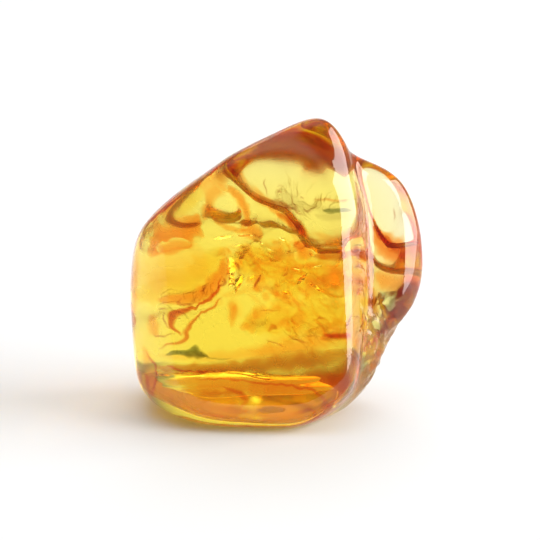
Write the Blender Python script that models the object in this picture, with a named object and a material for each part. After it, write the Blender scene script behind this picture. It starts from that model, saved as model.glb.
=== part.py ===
"""A raw amber piece: one clear, worn lump of fossil resin that stands on a small flat face.

Four flat-sided masses (main body, head, shoulder and heel) are melted into one lump. Ledges and pits are
sunk into its back, and a low wobble keeps that side from looking cut. The skin is found along rays from a
seed point inside the lump, so the result is one closed mesh with no seams.

The front faces -Y, the right is +X and +Z is up. The origin is at the middle of the bounding box, on the
ground. The tables are in millimetres and the mesh is in metres.
"""

import math
from collections import namedtuple

import bmesh
import bpy
import numpy as np
from mathutils import Vector, noise

MM = 0.001

# A flat: the way it faces (azimuth 0 is the front and 90 the right, then elevation, in degrees) and how
# far it lies from the middle of its mass.
Flat = namedtuple("Flat", "azimuth elevation distance")
# A mass: its middle and its flats by name.
Mass = namedtuple("Mass", "middle flats")
# A ledge: above its line of (x, z) points the back is set in by depth over a height of run. The step heals
# over the height heal above it, and fades in and out over fade between the x places starts and stops.
Ledge = namedtuple("Ledge", "line depth run heal starts stops fade")
# A pit: an egg-shaped hollow, with its middle just outside the skin.
Pit = namedtuple("Pit", "middle radii")

MASSES = {
    "main": Mass((-2.0, 0.5, 18.0), {
        "front": Flat(-4, 14, 11.6),
        "front_left": Flat(-50, 8, 16.4),
        "left": Flat(-90, 9, 20.2),
        "left_under": Flat(-90, -6, 20.2),
        "back_left": Flat(-138, 8, 19.2),
        "back_upper": Flat(176, 20, 12.6),
        "back_lower": Flat(182, -4, 13.4),
        "back_right": Flat(128, 0, 16.0),
        "right_bevel": Flat(44, 11, 18.7),
        "right_front": Flat(66, 10, 17.6),
        "right": Flat(92, -8, 15.8),
        "slope_left": Flat(-104, 47, 19.5),
        "slope_top": Flat(-114, 62, 20.2),
        "slope_front_left": Flat(-50, 46, 22.0),
        "crown": Flat(0, 90, 24.0),
        "crown_back": Flat(166, 38, 16.8),
        "crown_right": Flat(90, 46, 22.0),
        "foot_left": Flat(-88, -48, 23.8),
        "foot_front": Flat(-5, -48, 22.6),
        "foot_front_left": Flat(-50, -44, 23.5),
        "foot_right": Flat(60, -45, 21.8),
        "foot_back": Flat(167, -61, 17.6),
        "base": Flat(0, -90, 18.3),
    }),
    "head": Mass((4.5, 0.0, 34.0), {
        "front": Flat(0, 12, 6.4),
        "front_right": Flat(56, 18, 9.3),
        "left": Flat(-100, 0, 12.0),
        "left_slope": Flat(-113, 58, 9.1),
        "right": Flat(94, 8, 8.0),
        "right_slope": Flat(90, 32, 10.7),
        "back": Flat(176, 14, 6.9),
        "back_top": Flat(166, 38, 6.1),
        "under_left": Flat(-90, -35, 12.0),
        "under_front": Flat(0, -35, 9.9),
        "under_right": Flat(75, -30, 11.0),
        "under_back": Flat(180, -35, 9.5),
    }),
    "shoulder": Mass((13.5, 0.5, 27.0), {
        "front": Flat(14, 14, 3.6),
        "front_right": Flat(55, 8, 7.6),
        "right": Flat(90, -9, 11.0),
        "right_upper": Flat(98, 23, 9.4),
        "top": Flat(104, 70, 10.8),
        "top_right": Flat(104, 50, 11.3),
        "under": Flat(92, -35, 12.9),
        "under_front": Flat(40, -30, 12.8),
        "back": Flat(168, 8, 6.6),
        "back_right": Flat(130, 0, 8.6),
        "back_left": Flat(190, 38, 10.8),
        "left": Flat(-90, 0, 10.0),
        "under_back": Flat(150, -40, 12.8),
    }),
    "heel": Mass((9.0, 0.5, 10.0), {
        "front": Flat(0, 0, 9.4),
        "front_right": Flat(40, -10, 8.4),
        "right": Flat(92, -20, 7.9),
        "back_right": Flat(150, -6, 8.0),
        "back": Flat(180, 0, 9.0),
        "left": Flat(-90, 0, 10.0),
        "top": Flat(80, 40, 6.8),
        "foot": Flat(90, -44, 8.7),
        "foot_front": Flat(30, -48, 10.5),
        "foot_back": Flat(164, -61, 9.1),
        "base": Flat(0, -90, 10.3),
    }),
}
FLAT_ROUNDING = 1.0
MASS_MELT = 0.6

LEDGES = {
    "upper": Ledge(
        [(-12, 36.0), (-9.0, 34.4), (-5.3, 33.0), (-2.5, 30.7), (-0.4, 29.0), (1.5, 27.6), (3.4, 26.2),
         (4.9, 25.1), (5.8, 23.8), (7.0, 22.2), (11.2, 21.8), (13.8, 20.4), (20.0, 19.6)],
        1.6, 1.1, 12, -13, 40, 4),
    "lens": Ledge([(10, 30.5), (14.4, 26.6), (17.1, 24.5), (22, 24.1)], 0.9, 0.9, 10, 10, 40, 3),
    "left": Ledge([(-20, 23.6), (-9, 26.2)], 0.3, 1.2, 5, -18.5, -9, 2.5),
}
LEDGE_KEEPS = 0.2  # the share of a ledge's depth that is left once it has healed
BACK_STARTS = 1.0  # y from which the back counts as back, over the next
BACK_FADE = 3.0

# Ledges and pits are bent sideways by slow waves, so that none of them is straight or round.
BEND = np.array([0.5, 0.3, 0.6])
BEND_SIZE = np.array([1.7, 2.3, 1.5])
BEND_PHASE = np.array([0.4, 1.9, 3.1])

PITS = {
    "oval": Pit((-7.3, 10.6, 28.6), (2.0, 1.9, 1.7)),
    "slot": Pit((-6.4, 14.9, 18.6), (1.8, 2.6, 4.2)),
    "dimple": Pit((-1.6, 15.2, 11.4), (2.6, 2.4, 1.9)),
    "dent": Pit((7.8, 15.0, 10.8), (4.4, 2.6, 2.0)),
    "scoop": Pit((3.2, 16.6, 18.2), (5.6, 3.8, 3.8)),
    "groove": Pit((-10.4, 15.6, 12.4), (4.6, 2.8, 2.2)),
}
PIT_LIP = 0.5

WOBBLE_SIZE = 6.5
WOBBLE_FRONT = 0.08
WOBBLE_BACK = 0.4
WOBBLE_FADE = 8.0

SEED_POINT = np.array([-1.0, -2.0, 17.0])  # sees the whole skin, the steep ledges too
FURTHEST = 44.0
HALVINGS = 26
CELLS_PER_SIDE = 28  # cells along a side of the cube that the rays are spread over


def smooth_step(x):
    x = np.clip(x, 0, 1)
    return x * x * (3 - 2 * x)


def soft_max(fields, rounding):
    """The largest of the fields at each point, with the creases rounded."""
    scaled = np.stack(fields) / rounding
    top = scaled.max(axis=0)
    return rounding * (top + np.log(np.exp(scaled - top).sum(axis=0)))


def facing(flat):
    azimuth, elevation = math.radians(flat.azimuth), math.radians(flat.elevation)
    level = math.cos(elevation)
    return np.array([math.sin(azimuth) * level, -math.cos(azimuth) * level, math.sin(elevation)])


def mass_field(points, mass):
    """Below zero inside the mass, above zero outside it."""
    local = points - np.array(mass.middle)
    return soft_max([local @ facing(flat) - flat.distance for flat in mass.flats.values()], FLAT_ROUNDING)


def bent(points):
    return points + BEND * np.sin(points[:, [2, 0, 0]] / BEND_SIZE + BEND_PHASE)


def ledge_depth(points, ledge):
    x, y, z = points.T
    xs, zs = np.array(ledge.line).T
    height = z - np.interp(x, xs, zs)
    above = smooth_step(height / ledge.run + 0.5)
    healed = smooth_step((height - ledge.run) / ledge.heal)
    ends = smooth_step((x - ledge.starts) / ledge.fade) * smooth_step((ledge.stops - x) / ledge.fade)
    behind = smooth_step((y - BACK_STARTS) / BACK_FADE)
    return ledge.depth * above * ends * behind * (1 - (1 - LEDGE_KEEPS) * healed)


def pit_field(points, pit):
    """Below zero inside the hollow."""
    scaled = (points - np.array(pit.middle)) / np.array(pit.radii)
    return (np.linalg.norm(scaled, axis=1) - 1) * min(pit.radii)


def lump_field(points):
    masses = -soft_max([-mass_field(points, mass) for mass in MASSES.values()], MASS_MELT)
    wavy = bent(points)
    stepped = masses + sum(ledge_depth(wavy, ledge) for ledge in LEDGES.values())
    return soft_max([stepped] + [-pit_field(wavy, pit) for pit in PITS.values()], PIT_LIP)


def wobble(skin):
    """A low, slow unevenness, strong on the back and dying out towards the flat base."""
    waves = np.array([noise.noise(Vector(place / WOBBLE_SIZE)) for place in skin])
    behind = smooth_step(skin[:, 1] / WOBBLE_FADE)
    clear_of_base = smooth_step((skin[:, 2] - 0.5) / 2)
    return waves * (WOBBLE_FRONT + (WOBBLE_BACK - WOBBLE_FRONT) * behind) * clear_of_base


def skin_along(rays):
    """Where each ray from the seed point leaves the lump, found by halving."""
    near, far = np.zeros(len(rays)), np.full(len(rays), FURTHEST)
    for _ in range(HALVINGS):
        half = (near + far) / 2
        inside = lump_field(SEED_POINT + rays * half[:, None]) < 0
        near, far = np.where(inside, half, near), np.where(inside, far, half)
    skin = SEED_POINT + rays * near[:, None]
    return skin + rays * wobble(skin)[:, None]


def even_rays(cube):
    """The directions of a gridded cube's corners, spread evenly over the sphere."""
    corners = np.array([vert.co for vert in cube.verts])
    rays = np.tan(corners * math.pi / 4)
    return rays / np.linalg.norm(rays, axis=1)[:, None]


def lump_mesh(name, cells_per_side):
    ball = bmesh.new()
    bmesh.ops.create_cube(ball, size=2)
    bmesh.ops.subdivide_edges(ball, edges=ball.edges[:], cuts=cells_per_side - 1, use_grid_fill=True)
    skin = skin_along(even_rays(ball))
    skin[:, 2] = np.maximum(skin[:, 2], 0)  # the face that it stands on
    skin[:, :2] -= (skin[:, :2].min(axis=0) + skin[:, :2].max(axis=0)) / 2
    for vert, place in zip(ball.verts, skin * MM):
        vert.co = place
    mesh = bpy.data.meshes.new(name)
    ball.to_mesh(mesh)
    ball.free()
    mesh.shade_smooth()
    return mesh


def amber_material():
    material = bpy.data.materials.new("amber")
    material.use_nodes = True
    shader = material.node_tree.nodes["Principled BSDF"]
    shader.inputs["Base Color"].default_value = (0.93, 0.55, 0.07, 1)
    shader.inputs["Roughness"].default_value = 0.05
    shader.inputs["Metallic"].default_value = 0
    shader.inputs["IOR"].default_value = 1.54
    shader.inputs["Transmission Weight"].default_value = 1
    return material


def main():
    for old in list(bpy.data.objects):
        bpy.data.objects.remove(old)
    collection = bpy.data.collections.new("amber_piece")
    bpy.context.scene.collection.children.link(collection)
    mesh = lump_mesh("amber_piece", CELLS_PER_SIDE)
    mesh.materials.append(amber_material())
    collection.objects.link(bpy.data.objects.new("amber_piece", mesh))


if __name__ == "__main__":
    main()
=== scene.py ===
"""The looks of the raw amber piece: its clear body, with cracks, veils and debris sealed in it, on a floor.

The body repeats the solid's own masses, ledges and pits on a finer mesh, and adds the hollows and crinkles
of the broken back. Each crack in it is a real thin gap. Tables are in millimetres, and meshes in metres.
"""

import math
from collections import namedtuple
from functools import lru_cache

import bmesh
import bpy
import numpy as np
from mathutils import Matrix, Vector, noise


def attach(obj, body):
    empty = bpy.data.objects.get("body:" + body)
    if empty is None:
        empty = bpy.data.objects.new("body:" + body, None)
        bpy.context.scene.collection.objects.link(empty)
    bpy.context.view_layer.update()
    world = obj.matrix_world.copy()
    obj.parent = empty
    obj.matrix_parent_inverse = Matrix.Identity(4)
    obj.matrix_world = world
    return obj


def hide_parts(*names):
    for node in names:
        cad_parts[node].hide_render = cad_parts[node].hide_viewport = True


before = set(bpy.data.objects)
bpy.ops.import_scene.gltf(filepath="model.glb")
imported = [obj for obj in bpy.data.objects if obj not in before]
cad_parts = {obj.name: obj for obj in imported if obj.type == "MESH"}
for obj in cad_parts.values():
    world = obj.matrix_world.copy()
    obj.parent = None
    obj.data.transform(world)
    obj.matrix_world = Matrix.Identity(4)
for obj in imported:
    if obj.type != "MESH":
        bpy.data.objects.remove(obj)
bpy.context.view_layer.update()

MM = 0.001

# A flat: the way it faces (azimuth 0 is the front and 90 the right, then elevation, in degrees) and how
# far it lies from the middle of its mass.
Flat = namedtuple("Flat", "azimuth elevation distance")
# A mass: its middle and its flats by name.
Mass = namedtuple("Mass", "middle flats")
# A ledge: above its line of (x, z) points the back is set in by depth over a height of run. The step heals
# over the height heal above it, and fades in and out over fade between the x places starts and stops.
Ledge = namedtuple("Ledge", "line depth run heal starts stops fade")
# A pit: an egg-shaped hollow, with its middle just outside the skin.
Pit = namedtuple("Pit", "middle radii")

MASSES = {
    "main": Mass((-2.0, 0.5, 18.0), {
        "front": Flat(-4, 14, 11.6),
        "front_left": Flat(-50, 8, 16.4),
        "left": Flat(-90, 9, 20.2),
        "left_under": Flat(-90, -6, 20.2),
        "back_left": Flat(-138, 8, 19.2),
        "back_upper": Flat(176, 20, 12.6),
        "back_lower": Flat(182, -4, 13.4),
        "back_right": Flat(128, 0, 16.0),
        "right_bevel": Flat(44, 11, 18.7),
        "right_front": Flat(66, 10, 17.6),
        "right": Flat(92, -8, 15.8),
        "slope_left": Flat(-104, 47, 19.5),
        "slope_top": Flat(-114, 62, 20.2),
        "slope_front_left": Flat(-50, 46, 22.0),
        "crown": Flat(0, 90, 24.0),
        "crown_back": Flat(166, 38, 16.8),
        "crown_right": Flat(90, 46, 22.0),
        "foot_left": Flat(-88, -48, 23.8),
        "foot_front": Flat(-5, -48, 22.6),
        "foot_front_left": Flat(-50, -44, 23.5),
        "foot_right": Flat(60, -45, 21.8),
        "foot_back": Flat(167, -61, 17.6),
        "base": Flat(0, -90, 18.3),
    }),
    "head": Mass((4.5, 0.0, 34.0), {
        "front": Flat(0, 12, 6.4),
        "front_right": Flat(56, 18, 9.3),
        "left": Flat(-100, 0, 12.0),
        "left_slope": Flat(-113, 58, 9.1),
        "right": Flat(94, 8, 8.0),
        "right_slope": Flat(90, 32, 10.7),
        "back": Flat(176, 14, 6.9),
        "back_top": Flat(166, 38, 6.1),
        "under_left": Flat(-90, -35, 12.0),
        "under_front": Flat(0, -35, 9.9),
        "under_right": Flat(75, -30, 11.0),
        "under_back": Flat(180, -35, 9.5),
    }),
    "shoulder": Mass((13.5, 0.5, 27.0), {
        "front": Flat(14, 14, 3.6),
        "front_right": Flat(55, 8, 7.6),
        "right": Flat(90, -9, 11.0),
        "right_upper": Flat(98, 23, 9.4),
        "top": Flat(104, 70, 10.8),
        "top_right": Flat(104, 50, 11.3),
        "under": Flat(92, -35, 12.9),
        "under_front": Flat(40, -30, 12.8),
        "back": Flat(168, 8, 6.6),
        "back_right": Flat(130, 0, 8.6),
        "back_left": Flat(190, 38, 10.8),
        "left": Flat(-90, 0, 10.0),
        "under_back": Flat(150, -40, 12.8),
    }),
    "heel": Mass((9.0, 0.5, 10.0), {
        "front": Flat(0, 0, 9.4),
        "front_right": Flat(40, -10, 8.4),
        "right": Flat(92, -20, 7.9),
        "back_right": Flat(150, -6, 8.0),
        "back": Flat(180, 0, 9.0),
        "left": Flat(-90, 0, 10.0),
        "top": Flat(80, 40, 6.8),
        "foot": Flat(90, -44, 8.7),
        "foot_front": Flat(30, -48, 10.5),
        "foot_back": Flat(164, -61, 9.1),
        "base": Flat(0, -90, 10.3),
    }),
}
FLAT_ROUNDING = 1.0
MASS_MELT = 0.6

LEDGES = {
    "upper": Ledge(
        [(-12, 36.0), (-9.0, 34.4), (-5.3, 33.0), (-2.5, 30.7), (-0.4, 29.0), (1.5, 27.6), (3.4, 26.2),
         (4.9, 25.1), (5.8, 23.8), (7.0, 22.2), (11.2, 21.8), (13.8, 20.4), (20.0, 19.6)],
        1.6, 1.1, 12, -13, 40, 4),
    "lens": Ledge([(10, 30.5), (14.4, 26.6), (17.1, 24.5), (22, 24.1)], 0.9, 0.9, 10, 10, 40, 3),
    "left": Ledge([(-20, 23.6), (-9, 26.2)], 0.3, 1.2, 5, -18.5, -9, 2.5),
}
LEDGE_KEEPS = 0.2  # the share of a ledge's depth that is left once it has healed
BACK_STARTS = 1.0  # y from which the back counts as back, over the next
BACK_FADE = 3.0

# Ledges and pits are bent sideways by slow waves, so that none of them is straight or round.
BEND = np.array([0.5, 0.3, 0.6])
BEND_SIZE = np.array([1.7, 2.3, 1.5])
BEND_PHASE = np.array([0.4, 1.9, 3.1])

PITS = {
    "oval": Pit((-7.3, 10.6, 28.6), (2.0, 1.9, 1.7)),
    "slot": Pit((-6.4, 14.9, 18.6), (1.8, 2.6, 4.2)),
    "dimple": Pit((-1.6, 15.2, 11.4), (2.6, 2.4, 1.9)),
    "dent": Pit((7.8, 15.0, 10.8), (4.4, 2.6, 2.0)),
    "scoop": Pit((3.2, 16.6, 18.2), (5.6, 3.8, 3.8)),
    "groove": Pit((-10.4, 15.6, 12.4), (4.6, 2.8, 2.2)),
}
PIT_LIP = 0.5

WOBBLE_SIZE = 6.5
WOBBLE_FRONT = 0.08
WOBBLE_BACK = 0.4
WOBBLE_FADE = 8.0

SEED_POINT = np.array([-1.0, -2.0, 17.0])  # sees the whole skin, the steep ledges too
FURTHEST = 44.0
HALVINGS = 26


def smooth_step(x):
    x = np.clip(x, 0, 1)
    return x * x * (3 - 2 * x)


def soft_max(fields, rounding):
    """The largest of the fields at each point, with the creases rounded."""
    scaled = np.stack(fields) / rounding
    top = scaled.max(axis=0)
    return rounding * (top + np.log(np.exp(scaled - top).sum(axis=0)))


def facing(flat):
    azimuth, elevation = math.radians(flat.azimuth), math.radians(flat.elevation)
    level = math.cos(elevation)
    return np.array([math.sin(azimuth) * level, -math.cos(azimuth) * level, math.sin(elevation)])


def mass_field(points, mass):
    """Below zero inside the mass, above zero outside it."""
    local = points - np.array(mass.middle)
    return soft_max([local @ facing(flat) - flat.distance for flat in mass.flats.values()], FLAT_ROUNDING)


def bent(points):
    return points + BEND * np.sin(points[:, [2, 0, 0]] / BEND_SIZE + BEND_PHASE)


def ledge_depth(points, ledge):
    x, y, z = points.T
    xs, zs = np.array(ledge.line).T
    height = z - np.interp(x, xs, zs)
    above = smooth_step(height / ledge.run + 0.5)
    healed = smooth_step((height - ledge.run) / ledge.heal)
    ends = smooth_step((x - ledge.starts) / ledge.fade) * smooth_step((ledge.stops - x) / ledge.fade)
    behind = smooth_step((y - BACK_STARTS) / BACK_FADE)
    return ledge.depth * above * ends * behind * (1 - (1 - LEDGE_KEEPS) * healed)


def pit_field(points, pit):
    """Below zero inside the hollow."""
    scaled = (points - np.array(pit.middle)) / np.array(pit.radii)
    return (np.linalg.norm(scaled, axis=1) - 1) * min(pit.radii)


def lump_field(points):
    masses = -soft_max([-mass_field(points, mass) for mass in MASSES.values()], MASS_MELT)
    wavy = bent(points)
    stepped = masses + sum(ledge_depth(wavy, ledge) for ledge in LEDGES.values())
    return soft_max([stepped] + [-pit_field(wavy, pit) for pit in PITS.values()], PIT_LIP)


def wobble(skin):
    """A low, slow unevenness, strong on the back and dying out towards the flat base."""
    waves = np.array([noise.noise(Vector(place / WOBBLE_SIZE)) for place in skin])
    behind = smooth_step(skin[:, 1] / WOBBLE_FADE)
    clear_of_base = smooth_step((skin[:, 2] - 0.5) / 2)
    return waves * (WOBBLE_FRONT + (WOBBLE_BACK - WOBBLE_FRONT) * behind) * clear_of_base


def skin_along(rays):
    """Where each ray from the seed point leaves the lump, found by halving."""
    near, far = np.zeros(len(rays)), np.full(len(rays), FURTHEST)
    for _ in range(HALVINGS):
        half = (near + far) / 2
        inside = lump_field(SEED_POINT + rays * half[:, None]) < 0
        near, far = np.where(inside, half, near), np.where(inside, far, half)
    skin = SEED_POINT + rays * near[:, None]
    return skin + rays * wobble(skin)[:, None]


def even_rays(cube):
    """The directions of a gridded cube's corners, spread evenly over the sphere."""
    corners = np.array([vert.co for vert in cube.verts])
    rays = np.tan(corners * math.pi / 4)
    return rays / np.linalg.norm(rays, axis=1)[:, None]


BODY_CELLS = 100

# The broken back is scalloped: shallow hollows, that far apart and each tilted its own way, meet at sharp
# ridges. Fine crinkles of each size and height run over them. The roughness grows from the first y to the
# second. Round the (x, z) middle of its zone it is full up to half the radii out, and gone at the edge,
# which is that many radii out.
HOLLOW_SPACING = 3.2
HOLLOW_REACH = (-24, 50)
HOLLOW_STRAY = 0.45
HOLLOW_CURVE = 0.16
HOLLOW_TILT = 0.34
HOLLOW_SEED = 5
CRINKLES = [(1.3, 0.07), (0.6, 0.02)]
ROUGH_BEHIND = (3.0, 9.0)
ROUGH_ZONE = ((-2.0, 20.5), (9.0, 8.0))
ROUGH_EDGE = 1.5

# The lower right is pitted crust, from that x on and below that z. Its pits are of each size and height.
CRUST_PITS = [(2.6, 0.34), (1.1, 0.13)]
CRUST_FROM, CRUST_BELOW, CRUST_FADE = 12.0, 18.5, 3.5
CRUST_LEVEL = 0.7  # where the skin stays as it is: higher folds stand out, and lower ones sink in
CRUST_SEED = 9

# A crack is a thin gap of air round its middle. It faces azimuth and elevation, and is turned in its own
# plane. Its sheet is crumpled by folds of that size and depth, which its seed picks, and its rim is raised
# by curl. Its skin has that many cells along a side.
Crack = namedtuple(
    "Crack", "middle azimuth elevation turn length width gap fold_size fold_depth cells seed curl"
)
CRACKS = {
    "base_mirror": Crack((-4.2, -5.2, 4.6), 0, 90, 0, 26.0, 12.5, 0.06, 7.0, 0.05, 34, 3, 0.4),
    "tall_fleck": Crack((-6.0, 2.0, 20.4), 6, 76, 84, 9.0, 1.2, 0.05, 2.5, 0.10, 14, 11, 0),
    "upper_fleck": Crack((-7.2, 1.5, 25.9), 4, 76, 20, 3.0, 0.9, 0.05, 1.6, 0.08, 10, 13, 0),
    "upper_fleck_2": Crack((-3.8, 1.5, 26.2), -3, 77, 5, 2.6, 0.7, 0.05, 1.6, 0.08, 10, 14, 0),
    "feather": Crack((4.6, 1.5, 19.4), 5, 76, 60, 3.4, 0.7, 0.05, 1.6, 0.10, 12, 15, 0),
    "feather_2": Crack((6.6, 1.5, 18.2), 0, 77, 120, 3.0, 0.6, 0.05, 1.6, 0.10, 12, 16, 0),
    "small_fleck": Crack((-5.1, 1.0, 18.6), -4, 74, 80, 5.0, 0.9, 0.05, 2.5, 0.08, 10, 12, 0),
}
FINE_FOLDS, FINER = 0.4, 2.3  # the finer folds' share of the depth, and how many times smaller they are
CURL_POWER = 6  # keeps the curl close to the rim
RIM_RAGGED, RIM_GRAIN, RIM_SEED_STEP = 0.5, 1.6, 1.7
RIM_BAND = 1e-6

# Small cracks catch the light, in the egg-shaped zone of that middle and those radii. Their width is a share
# of their length.
SPARKS = 9
SPARK_ZONE = ((2.0, 1.0, 21.5), (10.0, 4.0, 6.5))
SPARK_LEAST, SPARK_POWER = 0.2, 0.5
SPARK_AZIMUTH, SPARK_ELEVATION = (-16, 16), (66, 86)
SPARK_LENGTH, SPARK_SHARE = (0.6, 2.0), (0.25, 0.5)
SPARK_GAP, SPARK_FOLDS, SPARK_CELLS = 0.04, (1.2, 0.05), 6
SPARK_SEED = 8
SPARK_FIRST_FOLDS = 20  # the first spark's own seed

FOLD_SEED_STEPS = (7.1, 3.7, 5.3)  # from one seed's folds to the next one's in the noise


def ridged(places, size, seed):
    """The height of crumpled folds, up to 1 at their sharp ridges."""
    shift = Vector([seed * step for step in FOLD_SEED_STEPS])
    return 1 - 2 * np.abs([noise.noise(Vector(place / size) + shift) for place in places])


def scalloped(skin):
    """The height of the nearest hollow's floor over each point of the skin."""
    dice = np.random.RandomState(HOLLOW_SEED)
    rows = np.arange(*HOLLOW_REACH, HOLLOW_SPACING)
    middles = np.array([(x, z) for x in rows for z in rows])
    middles = middles + dice.uniform(-HOLLOW_STRAY, HOLLOW_STRAY, middles.shape) * HOLLOW_SPACING
    tilts = dice.uniform(-HOLLOW_TILT, HOLLOW_TILT, middles.shape)
    height = np.full(len(skin), np.inf)
    for middle, tilt in zip(middles, tilts):
        away = skin[:, [0, 2]] - middle
        floor = away @ tilt + HOLLOW_CURVE / 2 * (away**2).sum(axis=1)
        height = np.minimum(height, floor)
    return height


def roughened(skin):
    """How far the hollows, crinkles and pits lift each point of the skin."""
    x, y, z = skin.T
    crinkles = sum(high * ridged(skin, size, seed) for seed, (size, high) in enumerate(CRINKLES))
    lift = scalloped(skin) + crinkles
    starts, full = ROUGH_BEHIND
    behind = smooth_step((y - starts) / (full - starts))
    (middle_x, middle_z), (half_wide, half_high) = ROUGH_ZONE
    away = np.hypot((x - middle_x) / half_wide, (z - middle_z) / half_high)
    zone = smooth_step(ROUGH_EDGE - away)
    pits = 0
    for seed, (size, high) in enumerate(CRUST_PITS, CRUST_SEED):
        pits = pits + high * (ridged(skin, size, seed) - CRUST_LEVEL)
    right = smooth_step((x - CRUST_FROM) / CRUST_FADE) * smooth_step((CRUST_BELOW - z) / CRUST_FADE)
    clear_of_base = smooth_step(z)
    return lift * behind * zone + pits * right * clear_of_base


def gridded_ball(cells):
    ball = bmesh.new()
    bmesh.ops.create_cube(ball, size=2)
    bmesh.ops.subdivide_edges(ball, edges=ball.edges[:], cuts=cells - 1, use_grid_fill=True)
    return ball


def crack_walls(crack, rays):
    """The crack's upper and lower wall along the rays, round its own middle."""
    spread = 2 / math.pi * np.arccos(np.clip(np.abs(rays[:, 2]), 0, 1))
    around = np.arctan2(rays[:, 1], rays[:, 0])
    picked = np.full(len(around), crack.seed * RIM_SEED_STEP)
    rim = np.stack([np.cos(around), np.sin(around), picked], axis=1)
    ragged = 1 + RIM_RAGGED * np.array([noise.noise(Vector(place * RIM_GRAIN)) for place in rim])
    x = spread * np.cos(around) * crack.length / 2 * ragged
    y = spread * np.sin(around) * crack.width / 2 * ragged
    flat = np.stack([x, y, np.zeros(len(x))], axis=1)
    finer = ridged(flat, crack.fold_size / FINER, crack.seed + 1)
    folds = ridged(flat, crack.fold_size, crack.seed) + FINE_FOLDS * finer
    gap = crack.gap / 2 * (1 - spread**2) * np.sign(rays[:, 2])
    lifted = folds * crack.fold_depth + crack.curl * spread**CURL_POWER
    return np.stack([x, y, lifted + gap], axis=1)


def add_crack(body, crack, centre):
    """Adds the crack's walls to the body, facing into the gap and with a sharp rim."""
    ball = gridded_ball(crack.cells)
    rays = even_rays(ball)
    turn = Matrix.Rotation(math.radians(crack.azimuth), 3, "Z")
    turn = turn @ Matrix.Rotation(math.radians(90 - crack.elevation), 3, "X")
    turn = turn @ Matrix.Rotation(math.radians(crack.turn), 3, "Z")
    placed = crack_walls(crack, rays) @ np.array(turn).T + np.array(crack.middle) - centre
    on_rim = np.abs(rays[:, 2]) < RIM_BAND
    for edge in ball.edges:
        edge.smooth = not all(on_rim[vert.index] for vert in edge.verts)
    for vert, place in zip(ball.verts, placed * MM):
        vert.co = place
    bmesh.ops.reverse_faces(ball, faces=ball.faces[:])
    wall = bpy.data.meshes.new("wall")
    ball.to_mesh(wall)
    ball.free()
    body.from_mesh(wall)
    bpy.data.meshes.remove(wall)


def strewn(dice, middle, radii, least, power):
    """The next place in the egg-shaped zone. Its share of the way out is drawn from least to 1, to power."""
    way = dice.normal(size=3)
    reach = np.array(radii) * way / np.linalg.norm(way)
    return np.array(middle) + reach * dice.uniform(least, 1) ** power


def sparks():
    """The small cracks, strewn by a seeded draw."""
    dice = np.random.RandomState(SPARK_SEED)
    for number in range(SPARKS):
        place = strewn(dice, *SPARK_ZONE, SPARK_LEAST, SPARK_POWER)
        azimuth, elevation = dice.uniform(*SPARK_AZIMUTH), dice.uniform(*SPARK_ELEVATION)
        length = dice.uniform(*SPARK_LENGTH)
        width = length * dice.uniform(*SPARK_SHARE)
        turn = dice.uniform(0, 180)
        sheet = (length, width, SPARK_GAP, *SPARK_FOLDS, SPARK_CELLS, SPARK_FIRST_FOLDS + number, 0)
        yield Crack(tuple(place), azimuth, elevation, turn, *sheet)


@lru_cache(maxsize=None)
def plain_lump():
    """The rays of the body's grid, and the plain lump's skin along them. Neither is changed afterwards."""
    ball = gridded_ball(BODY_CELLS)
    rays = even_rays(ball)
    ball.free()
    return rays, skin_along(rays)


def box_middle():
    """The middle of the plain lump's box on the floor."""
    _, skin = plain_lump()
    return np.append((skin[:, :2].min(axis=0) + skin[:, :2].max(axis=0)) / 2, 0)


def body_mesh():
    rays, plain = plain_lump()
    centre = box_middle()
    skin = plain + rays * roughened(plain)[:, None]
    skin[:, 2] = np.maximum(skin[:, 2], 0)
    ball = gridded_ball(BODY_CELLS)
    for vert, place in zip(ball.verts, (skin - centre) * MM):
        vert.co = place
    for crack in [*CRACKS.values(), *sparks()]:
        add_crack(ball, crack, centre)
    mesh = bpy.data.meshes.new("amber_body")
    ball.to_mesh(mesh)
    ball.free()
    mesh.shade_smooth()
    return mesh


# A streak is a closed sliver of tinted amber, or of painted shade, that lies y behind the lump's middle, or
# before it where y is negative. Its path is a row of (x, z, width), drawn as it is seen from a little above
# the front. It is thickest along the path and thins out to its edges.
Streak = namedtuple("Streak", "path y thick")
SIGHT_SLOPE = 0.25  # how far the line of sight falls for each millimetre that it goes back
SIGHT_SHIFT = 0.35  # how far to the left of its streak every path is drawn
BEVEL_BEND, BEVEL_STARTS, BEVEL_FADE = 1.8, -9.5, 5.0  # the left bevel bends the sight inwards
STREAK_STEPS = 9  # steps from one point of a path to the next
STREAK_SWAY, STREAK_SWAY_SIZE, SWAY_SEED_STEP = 0.4, 1.1, 3.1
STREAK_SIDES = 12
THREAD_SIDES = 6  # for a streak that is less wide than a thread all along
THREAD_WIDTH = 0.6
STREAK_SOFTNESS = 1.5  # how fast it thins out
STREAK_RAGGED, RAGGED_REACH, RAGGED_SEED_STEP = 0.18, 3, 5.7
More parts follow.
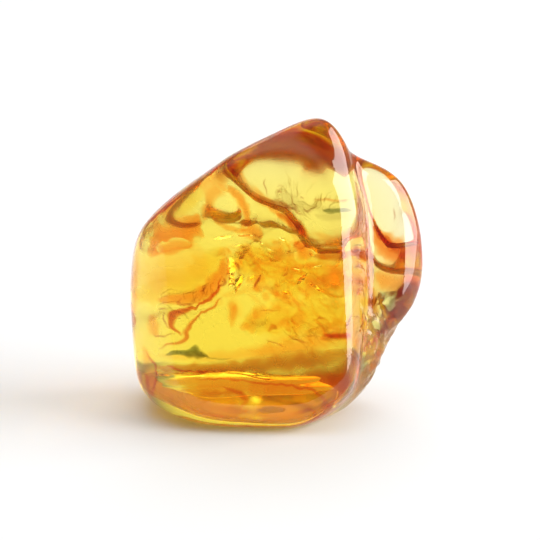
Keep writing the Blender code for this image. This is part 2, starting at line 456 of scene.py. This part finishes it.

# Darker honey: blobs, arcs and bars at the left, and tints below the upper ledge and over the middle, the
# foot, the heel, the shoulder and the dome. Along the upper ledge, low over the middle, just above the foot,
# down the left edge and in the crease at the right it is painted shade, and round the big crack at the left
# it is a painted glow.
HONEY = {
    "left_blob": Streak([(-18.2, 23.4, 1.5), (-16.2, 25.6, 3.8), (-13.6, 27.6, 4.4),
                         (-11.4, 29.8, 1.8)], 3, 4.6),
    "left_blob_foot": Streak([(-17.4, 24.6, 0.8), (-15.6, 24.8, 2.2), (-13.6, 25.6, 1.2)], 1, 3.0),
    "dome_tint": Streak([(13.6, 28.2, 1.6), (15.4, 25.9, 3.8), (17.6, 24.2, 4.6),
                         (19.6, 23.6, 2.8)], 1, 5.6),
    "shoulder_tint": Streak([(13.8, 20.9, 1.6), (15.8, 19.8, 4.0), (18.6, 19.0, 4.0),
                             (20.4, 19.2, 1.8)], 1, 3.4),
    "window_bar": Streak([(-19.0, 29.4, 1.2), (-15.6, 31.6, 1.6), (-11.6, 34.2, 1.4),
                          (-8.6, 36.0, 0.8)], 3, 2.6),
    "window_end": Streak([(-10.6, 28.8, 1.4), (-9.4, 31.4, 1.9), (-7.4, 35.0, 2.2),
                          (-6.0, 36.8, 0.8)], 4, 2.6),
    "oval_arc": Streak([(-8.2, 34.2, 1.2), (-5.8, 33.2, 1.5), (-4.2, 30.8, 1.8),
                        (-3.4, 28.4, 1.0)], 4, 3.6),
    "oval_foot": Streak([(-9.6, 30.0, 0.8), (-7.2, 28.2, 1.0), (-5.0, 27.4, 0.9),
                         (-3.6, 28.2, 0.6)], 4, 2.4),
    # Painted glow: an orange tint round the big crack, where the crack throws light back.
    "painted_crack_glow": Streak([(-16.5, 16.6, 1.2), (-13.5, 16.8, 2.4), (-10.5, 17.6, 3.2), (-8.0, 20.2, 3.0),
                          (-7.2, 23.4, 1.8)], 2, 4.0),
    "crack_foot": Streak([(-17.6, 14.5, 1.4), (-16.6, 12.6, 2.6), (-15.9, 10.8, 1.6)], 2, 2.2),
    "left_tint": Streak([(-20.0, 20.0, 4.0), (-15.0, 21.6, 8.0), (-10.0, 24.6, 6.0)], 6, 0.9),
    "below_ledge": Streak([(-4.8, 29.2, 2.0), (-3.0, 27.4, 3.6), (-1.0, 26.6, 2.0)], 6, 3.4),
    # Painted shade along the step of the upper ledge, in this streak and the next.
    "ledge_top": Streak([(-6.6, 35.8, 0.8), (-5.0, 34.8, 1.1), (-2.9, 32.9, 1.2), (-0.8, 31.2, 1.4),
                         (1.1, 29.8, 1.5), (3.1, 28.4, 1.8), (4.6, 27.3, 1.6), (5.4, 26.2, 0.8)], 8, 3.0),
    "ledge_patch": Streak([(3.0, 25.6, 1.4), (4.2, 24.6, 3.0), (6.0, 23.4, 2.4)], 6, 3.4),
    # Painted shade: a darker band low over the middle.
    "middle_low": Streak([(-4.0, 8.6, 2.6), (1.0, 9.2, 4.4), (6.0, 10.8, 5.0), (10.4, 13.0, 3.0)], 5, 1.2),
    "heel_patch": Streak([(13.0, 18.9, 1.6), (13.9, 16.8, 3.6), (14.6, 14.2, 2.4)], -1.5, 2.6),
    "heel_mottle": Streak([(15.0, 10.4, 0.8), (14.4, 8.4, 1.8), (13.4, 6.2, 1.2)], -2, 2.6),
    # Painted shade in the crease between the head and the shoulder.
    "crease": Streak([(12.4, 37.2, 0.4), (12.9, 35.4, 0.9), (13.5, 32.4, 0.9), (14.1, 30.0, 0.7),
                      (15.0, 27.8, 0.4)], -1, 1.6),
    # Painted shade: the orange rim down the left edge.
    "left_edge": Streak([(-21.0, 26.0, 0.8), (-21.4, 21.0, 1.6), (-21.2, 14.0, 1.6),
                         (-20.6, 9.0, 0.8)], 1, 1.6),
    "foot": Streak([(-17.0, 4.4, 1.6), (-9.0, 3.8, 3.4), (0.0, 3.4, 4.0), (7.0, 4.2, 3.4),
                    (10.4, 6.0, 1.6)], -5, 3.6),
    # Painted shade: a darker band just above the foot.
    "above_foot": Streak([(-18.0, 8.0, 1.0), (-9.0, 8.0, 2.4), (0.0, 8.6, 3.2), (7.0, 10.0, 3.6),
                          (10.8, 11.4, 2.0)], -3, 1.3),
    "corner": Streak([(-19.8, 9.8, 1.2), (-19.2, 7.6, 2.4), (-18.2, 5.2, 2.6), (-17.2, 3.2, 1.4)], -2, 1.7),
    "right_tint": Streak([(6.0, 18.6, 4.0), (9.6, 20.2, 5.0), (12.4, 22.0, 3.0)], 6, 1.8),
}

# Deep brown amber: a lens in the cap, and lines and patches in the heel. Its bands through the middle, the
# right and the shoulder are painted shade along the step of the upper ledge, and its band over the foot is
# painted shade low in the body.
DEEP = {
    "cap_lens": Streak([(3.6, 41.8, 0.6), (6.4, 40.4, 1.8), (9.4, 39.0, 1.0)], -1, 1.3),
    # Painted shade along the step of the upper ledge, in this band and the next.
    "band_right": Streak([(5.9, 23.4, 1.2), (8.6, 23.6, 2.3), (10.9, 23.6, 2.3),
                          (13.6, 22.9, 1.4)], 5, 2.8),
    "band_bevel": Streak([(9.4, 24.0, 0.8), (11.0, 24.0, 1.9), (12.6, 23.6, 1.9),
                          (13.8, 22.8, 1.2)], -5, 3.2),
    "lens_line": Streak([(12.8, 29.9, 0.4), (14.6, 27.5, 1.1), (16.1, 25.8, 1.2), (17.6, 24.7, 1.1),
                         (19.1, 24.4, 0.6)], 1, 2.6),
    # Painted shade along the step of the upper ledge, over the shoulder.
    "band_shoulder": Streak([(12.4, 23.6, 1.0), (14.5, 22.3, 1.7), (17.0, 21.5, 1.7), (19.3, 21.2, 1.3),
                             (20.8, 20.4, 0.7)], 1.5, 1.0),
    "lens_dome": Streak([(16.0, 25.6, 0.6), (17.3, 24.5, 1.3), (19.0, 24.1, 1.6),
                         (20.6, 24.7, 1.0)], 1, 1.2),
    "heel_line": Streak([(17.6, 16.5, 0.4), (17.0, 14.4, 0.9), (15.6, 12.7, 0.9), (14.2, 11.4, 0.8),
                         (12.8, 9.4, 0.4)], -2, 3.2),
    "heel_foot": Streak([(13.8, 5.9, 0.3), (13.0, 4.9, 0.6), (12.2, 3.9, 0.3)], -3, 1.2),
    "base_right": Streak([(9.6, 7.6, 2.0), (9.8, 5.2, 4.0), (8.2, 2.8, 3.0)], -4, 1.6),
    "heel_spot": Streak([(13.4, 16.4, 1.0), (14.2, 16.5, 2.2), (15.2, 16.6, 1.2)], -5, 2.4),
    # Painted shade along the step of the upper ledge, in the middle.
    "band_middle": Streak([(0.4, 30.2, 0.6), (2.0, 29.2, 1.4), (3.8, 27.9, 1.9), (5.2, 26.4, 1.0)], 7, 2.4),
    # Painted shade: a darker band low in the body, over the foot.
    "band_foot": Streak([(-18.6, 6.4, 0.9), (-12.0, 6.2, 1.8), (-4.0, 6.4, 2.4), (4.0, 7.2, 3.2),
                         (11.0, 8.8, 4.0)], -3, 2.1),
    "right_patch": Streak([(6.8, 10.6, 1.0), (9.0, 11.0, 1.6), (11.4, 10.8, 1.2)], 3, 2.0),
    "fleck": Streak([(-0.9, 12.1, 0.5), (-0.1, 12.5, 1.0), (0.7, 12.3, 0.5)], 0, 2.0),
}

# Clouds of golden amber through the middle, at the left and at the upper left.
GOLD = {
    "middle": Streak([(-7.0, 22.6, 4.0), (-2.0, 22.4, 8.0), (4.0, 20.4, 9.0), (11.0, 20.0, 5.0)], 5, 2.5),
    "middle_low": Streak([(-5.0, 13.0, 5.0), (1.0, 13.8, 7.0), (7.0, 14.4, 7.0),
                          (11.0, 16.0, 4.0)], 3, 1.8),
    "left": Streak([(-19.4, 17.0, 3.0), (-15.0, 18.6, 6.0), (-10.0, 21.4, 6.0), (-7.4, 25.0, 3.0)], 5, 1.8),
    "top_left": Streak([(-16.0, 29.0, 2.0), (-12.0, 33.2, 3.0), (-6.6, 37.6, 3.0),
                        (-2.0, 41.0, 2.0)], 1, 1.4),
}

# Rust-coloured stain: along the big crack at the left, in the lens-shaped one near the top, in lines and
# curls at the foot and round the bright oval there, and in a knot at the right.
RUST = {
    "crack_edge": Streak([(-7.7, 20.6, 0.4), (-8.3, 18.5, 0.6), (-9.5, 17.0, 0.8), (-10.7, 16.1, 0.6),
                          (-12.2, 15.6, 0.5), (-13.7, 15.3, 0.8), (-14.9, 14.8, 1.3), (-15.5, 13.9, 1.3),
                          (-15.2, 13.0, 0.8), (-14.8, 12.1, 0.6), (-14.5, 11.1, 0.3)], -2, 0.9),
    "crack_line": Streak([(-7.6, 17.3, 0.3), (-8.3, 16.4, 0.5), (-9.2, 15.5, 0.6), (-10.7, 14.8, 0.5),
                          (-12.2, 14.2, 0.5), (-13.3, 13.4, 0.6), (-13.9, 12.4, 0.7), (-14.0, 11.1, 0.7),
                          (-14.6, 10.5, 0.6), (-15.8, 9.7, 0.5), (-16.9, 9.1, 0.3)], -2, 0.6),
    "crack_top": Streak([(-7.4, 23.2, 0.4), (-6.9, 22.6, 0.5), (-6.8, 21.6, 0.4),
                         (-7.3, 20.4, 0.5)], -2, 0.5),
    "lens": Streak([(5.6, 31.7, 0.2), (6.7, 32.0, 0.4), (7.9, 32.0, 0.45), (8.9, 31.5, 0.4),
                    (8.3, 31.1, 0.2)], -1, 0.4),
    "foot_curl": Streak([(-19.7, 9.0, 0.2), (-18.8, 7.4, 0.5), (-17.6, 6.5, 0.6), (-17.2, 4.9, 0.6),
                         (-17.9, 3.4, 0.5), (-18.8, 4.0, 0.2)], -3, 0.6),
    "foot_bend": Streak([(-20.2, 5.9, 0.2), (-19.1, 4.6, 0.6), (-18.2, 2.5, 0.6),
                         (-16.7, 1.2, 0.2)], -3, 0.6),
    "foot_line": Streak([(-16.9, 6.8, 0.2), (-14.6, 5.9, 0.5), (-11.6, 5.6, 0.6),
                         (-9.4, 5.9, 0.2)], -6, 0.5),
    "ring_top": Streak([(-13.9, 4.6, 0.2), (-7.6, 4.6, 0.5), (-1.3, 4.0, 0.4), (5.0, 3.1, 0.5),
                        (7.0, 1.9, 0.5), (5.6, 0.6, 0.4), (1.4, -0.1, 0.2)], -10.5, 0.5),
    "ring_left": Streak([(-8.0, 3.4, 0.3), (-5.6, 2.6, 1.0), (-4.4, 1.4, 1.2),
                         (-5.2, 0.4, 0.4)], -10.5, 0.35),
    "right_knot": Streak([(7.2, 11.4, 0.4), (8.8, 11.0, 0.9), (10.6, 11.3, 0.5)], 1, 0.6),
}

# Dark hairlines where the cracks run edge on to the front, and thin bits of bark.
HAIRS = {
    "over_crack": Streak([(-14.9, 17.6, 0.15), (-13.7, 17.8, 0.25), (-12.8, 17.9, 0.35),
                          (-12.4, 18.1, 0.1)], -2, 0.3),
    "over_crack_2": Streak([(-12.4, 18.1, 0.12), (-10.9, 18.2, 0.2), (-10.0, 18.9, 0.15)], -2, 0.3),
    "over_crack_3": Streak([(-14.6, 17.0, 0.15), (-14.9, 16.2, 0.3), (-13.9, 16.1, 0.35),
                            (-13.1, 16.2, 0.2)], -2, 0.3),
    "outer_1": Streak([(-17.6, 15.0, 0.15), (-16.4, 15.5, 0.3), (-15.8, 15.1, 0.15)], -2, 0.3),
    "outer_2": Streak([(-16.1, 15.1, 0.15), (-16.3, 13.9, 0.3), (-16.0, 13.0, 0.3),
                       (-15.2, 12.2, 0.15)], -2, 0.3),
    "outer_3": Streak([(-18.1, 11.1, 0.15), (-16.9, 11.1, 0.4), (-15.8, 11.3, 0.3),
                       (-14.8, 11.4, 0.15)], -2, 0.3),
    "knot_1": Streak([(-7.7, 20.1, 0.3), (-7.3, 19.5, 0.7), (-8.0, 18.7, 0.5), (-8.4, 18.2, 0.2)], -2, 0.3),
    "window_hair": Streak([(17.4, 30.9, 0.15), (17.7, 29.9, 0.3), (17.5, 28.8, 0.15)], 0, 0.3),
    "rod": Streak([(-1.9, 20.7, 0.35), (-2.5, 19.6, 0.45), (-2.9, 18.4, 0.4)], -1, 0.5),
    "thin": Streak([(-2.2, 15.0, 0.12), (-0.5, 15.1, 0.18), (1.1, 15.0, 0.1)], -1, 0.3),
    "low_1": Streak([(-1.1, 10.7, 0.15), (-0.1, 10.2, 0.25), (1.7, 9.3, 0.25)], 0, 0.3),
    "low_2": Streak([(2.0, 11.4, 0.15), (3.6, 10.4, 0.3), (5.4, 10.0, 0.15)], 0, 0.3),
    "knot_2": Streak([(1.2, 20.4, 0.2), (1.8, 20.7, 0.5), (2.2, 20.9, 0.2)], 0, 0.3),
    "knot_3": Streak([(6.2, 13.6, 0.2), (6.8, 14.1, 0.5), (7.6, 13.9, 0.2)], 0, 0.3),
    "knot_4": Streak([(-6.4, 22.4, 0.2), (-5.6, 22.0, 0.6), (-5.2, 21.2, 0.3)], 0, 0.3),
    "veil_1": Streak([(-1.2, 35.3, 0.12), (-1.7, 34.5, 0.25), (-1.3, 33.4, 0.25),
                      (-1.0, 32.4, 0.15)], 0, 0.3),
    "veil_2": Streak([(0.3, 33.0, 0.12), (0.7, 33.2, 0.3), (1.1, 33.1, 0.12)], 0, 0.3),
    "veil_3": Streak([(0.7, 31.9, 0.12), (1.1, 31.6, 0.3), (1.5, 31.3, 0.12)], 0, 0.3),
    "veil_4": Streak([(2.5, 33.1, 0.12), (2.6, 31.7, 0.25), (3.1, 30.9, 0.5), (3.5, 30.0, 0.35),
                      (4.3, 29.7, 0.12)], 0, 0.3),
    "veil_5": Streak([(2.3, 30.5, 0.2), (3.0, 30.6, 0.6), (3.7, 30.3, 0.3)], 0, 0.3),
    "veil_6": Streak([(3.7, 32.2, 0.1), (4.0, 32.4, 0.25), (4.5, 32.0, 0.12)], 0, 0.3),
    "veil_7": Streak([(4.2, 30.7, 0.15), (4.9, 30.4, 0.5), (5.5, 30.7, 0.3), (6.4, 31.1, 0.12)], 0, 0.3),
    "veil_8": Streak([(1.4, 34.0, 0.1), (0.9, 34.2, 0.2), (0.4, 33.9, 0.1)], 0, 0.3),
    "crease_1": Streak([(9.4, 31.6, 0.1), (10.4, 31.7, 0.25), (11.2, 31.5, 0.1)], -1, 0.3),
}

# Olive-brown debris: a patch with a tail low at the left, and a fleck near the top.
DEBRIS = {
    "fleck": Streak([(-15.8, 8.2, 0.4), (-14.4, 8.6, 1.2), (-12.8, 8.7, 2.2), (-11.8, 8.4, 1.7),
                     (-10.6, 8.1, 1.0), (-9.4, 7.7, 0.3)], -2, 1.4),
    "fleck_tail": Streak([(-10.2, 7.8, 0.25), (-8.0, 7.6, 0.3), (-6.2, 7.7, 0.15)], -2, 0.6),
    "top_fleck": Streak([(7.0, 30.5, 0.4), (7.7, 30.2, 0.9), (8.5, 30.4, 0.7), (9.3, 30.1, 0.3)], 0, 1.2),
}

# Faint brown smears round the veil near the top.
SMEARS = {
    "veil_cloud": Streak([(0.8, 33.8, 0.8), (2.4, 32.3, 2.2), (4.2, 30.9, 2.4), (6.2, 30.7, 1.6),
                          (8.4, 30.7, 0.8)], 1, 1.4),
    "top_smear": Streak([(5.8, 29.8, 0.6), (7.9, 29.3, 1.6), (10.4, 29.6, 0.9)], 0, 1.6),
}

# Soft blots of darker honey, strewn through the egg-shaped zone of that middle and those radii.
BLOTS = 70
BLOT_ZONE = ((1.0, 3.0, 19.0), (11.5, 6.0, 8.5))
BLOT_LEAST, BLOT_POWER = 0.1, 0.5
BLOT_REACH, BLOT_WIDTH, BLOT_THICK = (0.7, 2.2), (0.8, 2.6), (0.5, 1.6)
BLOT_SEED = 4

# Fine wisps swirl through the egg-shaped zones of those middles and radii, that many in each. The brown ones
# of the veils are thinner than the golden ones.
WISP_ZONES = [((-1.0, 1.0, 22.4), (6.5, 5.0, 4.5), 70), ((6.0, 1.0, 18.0), (6.0, 5.0, 5.5), 90),
              ((4.5, 1.0, 12.6), (6.5, 5.0, 3.0), 60)]
VEIL_ZONES = [((2.0, 0.0, 32.1), (2.8, 2.0, 1.9), 44), ((6.4, 0.0, 31.0), (3.0, 2.0, 1.0), 30),
              ((4.6, 0.0, 11.6), (5.6, 2.0, 1.8), 34), ((-14.6, -1.5, 16.2), (3.2, 1.5, 2.0), 30),
              ((-10.4, -1.5, 17.4), (2.2, 1.5, 1.2), 14)]
WISP_WIDEST, VEIL_WIDEST = 0.6, 0.26
WISP_LEAST, WISP_POWER = 0.0, 0.4
WISP_TAPER = (0.3, 0.8, 1.0, 0.7, 0.3)
WISP_STEP, WISP_THICK = (0.3, 0.9), (1.0, 2.5)
WISP_CURL, WISP_SWING, WISP_STRAY, WISP_DROOP = 5.0, 4, 0.5, 0.5
WISP_SEED = 6


def smooth_path(points):
    """The points with rounded bends between them."""
    points = np.array(points, float)
    ends = np.vstack([2 * points[0] - points[1], points, 2 * points[-1] - points[-2]])
    places = []
    for before, start, stop, after in zip(ends, ends[1:], ends[2:], ends[3:]):
        for share in np.arange(STREAK_STEPS) / STREAK_STEPS:
            bend = (2 * before - 5 * start + 4 * stop - after) * share**2
            twist = (3 * start - before - 3 * stop + after) * share**3
            places.append(start + ((stop - before) * share + bend + twist) / 2)
    return np.array([*places, points[-1]])


def streak_line(path, seed):
    """Swaying places of (x, z, width) along the path, moved to show where it is drawn, and how they run."""
    places = smooth_path(path)
    along = np.gradient(places[:, :2], axis=0)
    along = along / np.linalg.norm(along, axis=1)[:, None]
    for place, (run, climb) in zip(places, along):
        wave = noise.noise(Vector((place[0], seed * SWAY_SEED_STEP, place[1])) / STREAK_SWAY_SIZE)
        sway = wave * min(place[2], STREAK_SWAY)
        place[:2] += (-climb * sway, run * sway)
    places[:, 0] += SIGHT_SHIFT + BEVEL_BEND * smooth_step((BEVEL_STARTS - places[:, 0]) / BEVEL_FADE)
    return places, along


def add_streak(target, streak, seed, centre):
    """Adds the streak's closed skin to the target."""
    places, along = streak_line(streak.path, seed)
    drop = SIGHT_SLOPE * streak.y
    share = np.linspace(-1, 1, len(places))
    taper = np.sqrt(np.clip(1 - share**4, 0, 1))
    sides = THREAD_SIDES if places[:, 2].max() < THREAD_WIDTH else STREAK_SIDES
    rings = []
    for (x, z, width), (run, climb), fill in zip(places[1:-1], along[1:-1], taper[1:-1]):
        ring = []
        for turn in np.arange(sides) * 2 * math.pi / sides:
            side, face = math.cos(turn), math.sin(turn)
            spot = (x + RAGGED_REACH * side, seed * RAGGED_SEED_STEP, z + RAGGED_REACH * face)
            reach = side * width * fill * (0.5 + STREAK_RAGGED * 2 * noise.noise(Vector(spot)))
            bulge = math.copysign(abs(face) ** (2 * STREAK_SOFTNESS), face) * streak.thick / 2 * fill
            ring.append((x - climb * reach, streak.y + bulge, z + run * reach - drop))
        rings.append([target.verts.new(Vector(place - centre) * MM) for place in np.array(ring)])
    tips = []
    for x, z, _ in places[[0, -1]]:
        tip = np.array([x, streak.y, z - drop])
        tips.append(target.verts.new(Vector(tip - centre) * MM))
    for ring, following in zip(rings, rings[1:]):
        for corner in range(sides):
            beside = (corner + 1) % sides
            target.faces.new((ring[corner], ring[beside], following[beside], following[corner]))
    for corner in range(sides):
        beside = (corner + 1) % sides
        target.faces.new((rings[0][beside], rings[0][corner], tips[0]))
        target.faces.new((rings[-1][corner], rings[-1][beside], tips[1]))


def blots():
    """The soft blots, strewn by a seeded draw."""
    dice = np.random.RandomState(BLOT_SEED)
    for _ in range(BLOTS):
        x, y, z = strewn(dice, *BLOT_ZONE, BLOT_LEAST, BLOT_POWER)
        lean = dice.uniform(0, math.pi)
        run, climb = np.array([math.cos(lean), math.sin(lean)]) * dice.uniform(*BLOT_REACH)
        width = dice.uniform(*BLOT_WIDTH)
        sight = z + SIGHT_SLOPE * y
        path = [(x - run, sight - climb, width / 2), (x, sight, width), (x + run, sight + climb, width / 2)]
        yield Streak(path, y, dice.uniform(*BLOT_THICK))


def wisps(zones, widest):
    """Short thin streaks that follow the same swirls, strewn by a seeded draw."""
    dice = np.random.RandomState(WISP_SEED)
    for middle, radii, count in zones:
        for _ in range(count):
            x, y, z = strewn(dice, middle, radii, WISP_LEAST, WISP_POWER)
            z += SIGHT_SLOPE * y
            step = dice.uniform(*WISP_STEP)
            width = dice.uniform(widest / 3, widest)
            path = []
            for share in WISP_TAPER:
                path.append((x, z, width * share))
                swirl = WISP_SWING * noise.noise(Vector((x, y, z)) / WISP_CURL)
                lean = swirl + dice.uniform(-WISP_STRAY, WISP_STRAY)
                x, z = x + step * math.cos(lean), z - step * math.sin(lean + WISP_DROOP)
            yield Streak(path, y, dice.uniform(*WISP_THICK) * widest)


def make_streaks(name, streaks, material):
    skin = bmesh.new()
    for seed, streak in enumerate(streaks):
        add_streak(skin, streak, seed, box_middle())
    bmesh.ops.recalc_face_normals(skin, faces=skin.faces[:])
    mesh = bpy.data.meshes.new(name)
    skin.to_mesh(mesh)
    skin.free()
    mesh.materials.append(material)
    piece = bpy.data.objects.new(name, mesh)
    bpy.context.scene.collection.objects.link(piece)
    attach(piece, "root")


AMBER_IOR, AMBER_TINT, AMBER_DENSITY = 1.54, (0.985, 0.90, 0.08), 120

# The polished front is smooth, and the natural crust behind is dull. It changes over these y, in metres.
DULL_RANGE = (0.002, 0.009)
POLISHED, DULL = 0.015, 0.26
# The lower right corner is dull too, along that way and over that range of metres.
CORNER_WAY, CORNER_RANGE, CORNER_DULL = (1.0, 0.0, -0.9), (0.001, 0.006), 0.16
# Patches make the roughness uneven, from the first share of it to the second.
PATCH_SCALE, PATCH_DETAIL = 260, 3
PATCH_RANGE, PATCH_SHARES = (0.3, 0.7), (0.6, 1.4)


def new_clear(name, ior, tint, density):
    """A clear material that takes some of the light away inside."""
    material = bpy.data.materials.new(name)
    material.use_nodes = True
    tree = material.node_tree
    shader = tree.nodes["Principled BSDF"]
    shader.inputs["Base Color"].default_value = (1, 1, 1, 1)
    shader.inputs["Transmission Weight"].default_value = 1
    shader.inputs["IOR"].default_value = ior
    absorption = tree.nodes.new("ShaderNodeVolumeAbsorption")
    absorption.inputs["Color"].default_value = (*tint, 1)
    absorption.inputs["Density"].default_value = density
    tree.links.new(absorption.outputs[0], tree.nodes["Material Output"].inputs["Volume"])
    return material, shader


def tinted_clear(name, tint, density):
    """Tinted amber or painted shade inside the body, which only takes more light away there and bends none.
    """
    material, shader = new_clear(name, 1.0, tint, density)
    shader.inputs["Roughness"].default_value = 0
    return material


def ramp(tree, value, reach, levels):
    """A node that goes from the first level to the second as the value crosses its reach."""
    node = tree.nodes.new("ShaderNodeMapRange")
    node.inputs["From Min"].default_value, node.inputs["From Max"].default_value = reach
    node.inputs["To Min"].default_value, node.inputs["To Max"].default_value = levels
    tree.links.new(value, node.inputs["Value"])
    return node


def nearness(tree, places, way):
    """How far the places lie along the way."""
    node = tree.nodes.new("ShaderNodeVectorMath")
    node.operation = "DOT_PRODUCT"
    node.inputs[1].default_value = way
    tree.links.new(places, node.inputs[0])
    return node.outputs["Value"]


def combined(tree, operation, one, other):
    node = tree.nodes.new("ShaderNodeMath")
    node.operation = operation
    tree.links.new(one, node.inputs[0])
    tree.links.new(other, node.inputs[1])
    return node.outputs[0]


def crust_roughness(tree):
    """Roughness that grows from the polished front to the dull crust, uneven in patches."""
    places = tree.nodes.new("ShaderNodeTexCoord").outputs["Object"]
    split = tree.nodes.new("ShaderNodeSeparateXYZ")
    tree.links.new(places, split.inputs[0])
    crust = ramp(tree, split.outputs["Y"], DULL_RANGE, (POLISHED, DULL))
    corner = ramp(tree, nearness(tree, places, CORNER_WAY), CORNER_RANGE, (POLISHED, CORNER_DULL))
    dullest = combined(tree, "MAXIMUM", crust.outputs[0], corner.outputs[0])
    patches = tree.nodes.new("ShaderNodeTexNoise")
    patches.inputs["Scale"].default_value = PATCH_SCALE
    patches.inputs["Detail"].default_value = PATCH_DETAIL
    tree.links.new(places, patches.inputs["Vector"])
    uneven = ramp(tree, patches.outputs[0], PATCH_RANGE, PATCH_SHARES)
    return combined(tree, "MULTIPLY", dullest, uneven.outputs[0])


def amber_finish():
    material, shader = new_clear("clear_amber", AMBER_IOR, AMBER_TINT, AMBER_DENSITY)
    tree = material.node_tree
    tree.links.new(crust_roughness(tree), shader.inputs["Roughness"])
    return material


def make_body():
    mesh = body_mesh()
    mesh.materials.append(amber_finish())
    body = bpy.data.objects.new("amber_body", mesh)
    bpy.context.scene.collection.objects.link(body)
    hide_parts("amber_piece")
    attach(body, "root")


FLOOR_SIZE = 3  # metres
FLOOR_GAP = 0.15  # keeps the floor clear of the face that stands on it
FLOOR_WHITE = 0.93


def make_floor():
    bpy.ops.mesh.primitive_plane_add(size=FLOOR_SIZE, location=(0, 0, -FLOOR_GAP * MM))
    floor = bpy.context.object
    floor.name = "floor"
    material = bpy.data.materials.new("pale_floor")
    material.use_nodes = True
    shader = material.node_tree.nodes["Principled BSDF"]
    shader.inputs["Base Color"].default_value = (FLOOR_WHITE, FLOOR_WHITE, FLOOR_WHITE, 1)
    shader.inputs["Roughness"].default_value = 0.6
    shader.inputs["Specular IOR Level"].default_value = 0.2
    floor.data.materials.append(material)


# The studio's light from all round is the sum of three glows. Each goes from its first level to its second
# as the way nears its side. Its reach is in nearness, which is about 1 at the side itself.
Glow = namedtuple("Glow", "side reach levels")
GLOWS = {
    "dark_by_camera": Glow((0, -0.97, 0.24), (0.60, 0.93), (0.30, 0.12)),
    "overhead": Glow((0, -0.17, 0.98), (0.72, 0.92), (0, 0.85)),
    "backdrop": Glow((0, 0.94, 0.34), (0.78, 0.92), (0, 0.55)),
}


def make_world():
    """Pale all round, brighter overhead and behind, and dark close round the camera, as in a studio."""
    world = bpy.data.worlds.new("studio")
    bpy.context.scene.world = world
    world.use_nodes = True
    tree = world.node_tree
    sky = tree.nodes["Background"]
    sky.inputs["Color"].default_value = (1, 1, 1, 1)
    ways = tree.nodes.new("ShaderNodeTexCoord").outputs["Generated"]
    strengths = []
    for glow in GLOWS.values():
        strength = ramp(tree, nearness(tree, ways, glow.side), glow.reach, glow.levels)
        strength.interpolation_type = "SMOOTHSTEP"
        strengths.append(strength.outputs[0])
    total = strengths[0]
    for strength in strengths[1:]:
        total = combined(tree, "ADD", total, strength)
    tree.links.new(total, sky.inputs["Strength"])


# A softbox: its place and size in metres, and its power in watts. Both aim at the lump.
Softbox = namedtuple("Softbox", "place size power")
SOFTBOXES = {
    "key": Softbox((1.02, -0.11, 0.35), (1.2, 0.7), 19.0),
    "back": Softbox((0.0, 0.46, 0.56), (0.6, 0.4), 1.1),
}
SOFTBOX_AIM = (0, 0, 0.02)


def make_lights():
    for name, softbox in SOFTBOXES.items():
        light = bpy.data.lights.new(name, "AREA")
        light.shape = "RECTANGLE"
        light.size, light.size_y = softbox.size
        light.energy = softbox.power
        lamp = bpy.data.objects.new(name, light)
        bpy.context.scene.collection.objects.link(lamp)
        lamp.location = softbox.place
        ahead = Vector(SOFTBOX_AIM) - Vector(softbox.place)
        lamp.rotation_euler = ahead.to_track_quat("-Z", "Y").to_euler()


CAMERA_ELEVATION = 14
CAMERA_DISTANCE = 430
CAMERA_AIM = (-0.86, -0.47, 21.6)
LENS, SENSOR = 191, 36
CAMERA_NEAR = 0.01  # metres


def make_camera():
    camera = bpy.data.cameras.new("camera")
    camera.lens = LENS
    camera.sensor_width = SENSOR
    camera.clip_start = CAMERA_NEAR
    tripod = bpy.data.objects.new("camera", camera)
    bpy.context.scene.collection.objects.link(tripod)
    tilt = math.radians(CAMERA_ELEVATION)
    back = Vector((0, -math.cos(tilt), math.sin(tilt)))
    tripod.location = (Vector(CAMERA_AIM) + back * CAMERA_DISTANCE) * MM
    tripod.rotation_euler = (-back).to_track_quat("-Z", "Y").to_euler()
    bpy.context.scene.camera = tripod


MOST_BOUNCES, MOST_MIRRORED = 32, 16


def set_light_paths():
    """Enough bounces for light to leave the amber after many inner reflections."""
    scene = bpy.context.scene
    scene.view_settings.view_transform = "Standard"
    scene.cycles.max_bounces = MOST_BOUNCES
    scene.cycles.transmission_bounces = MOST_BOUNCES
    scene.cycles.glossy_bounces = MOST_MIRRORED
    scene.cycles.transparent_max_bounces = MOST_MIRRORED


make_body()
# Honey tint, which also paints the shade along the upper ledge, low in the body, down the left edge and in
# the crease, and the glow round the big crack.
HONEY_TINT_AND_SHADE = tinted_clear("honey_tint_and_painted_shade", (0.975, 0.55, 0.0), 530)
# Deep tint, which also paints the shade along the upper ledge and low over the foot.
DEEP_TINT_AND_SHADE = tinted_clear("deep_tint_and_painted_shade", (0.86, 0.50, 0.0), 1000)
RUST_BROWN = tinted_clear("rust", (0.87, 0.37, 0.0), 3200)
BARK_BROWN = tinted_clear("bark_brown", (0.6, 0.1, 0.0), 3500)
OLIVE_BROWN = tinted_clear("olive_brown", (0.25, 0.30, 0.10), 1500)
SMOKE = tinted_clear("smoke", (0.5, 0.4, 0.25), 300)
CLOUD_GOLD = tinted_clear("gold", (0.97, 0.78, 0.0), 700)
WISP_GOLD = tinted_clear("wisp_gold", (0.95, 0.70, 0.0), 900)
VEIL_BROWN = tinted_clear("veil_brown", (0.55, 0.35, 0.0), 1500)
make_streaks("deep_tint_and_painted_shade", DEEP.values(), DEEP_TINT_AND_SHADE)
make_streaks("honey_flows_and_painted_shade", HONEY.values(), HONEY_TINT_AND_SHADE)
make_streaks("rust_stains", RUST.values(), RUST_BROWN)
make_streaks("dark_hairs", HAIRS.values(), BARK_BROWN)
make_streaks("olive_debris", DEBRIS.values(), OLIVE_BROWN)
make_streaks("grey_smears", SMEARS.values(), SMOKE)
make_streaks("honey_blots", blots(), HONEY_TINT_AND_SHADE)
make_streaks("golden_clouds", GOLD.values(), CLOUD_GOLD)
make_streaks("golden_wisps", wisps(WISP_ZONES, WISP_WIDEST), WISP_GOLD)
make_streaks("veil_wisps", wisps(VEIL_ZONES, VEIL_WIDEST), VEIL_BROWN)
make_floor()
make_world()
make_lights()
make_camera()
set_light_paths()
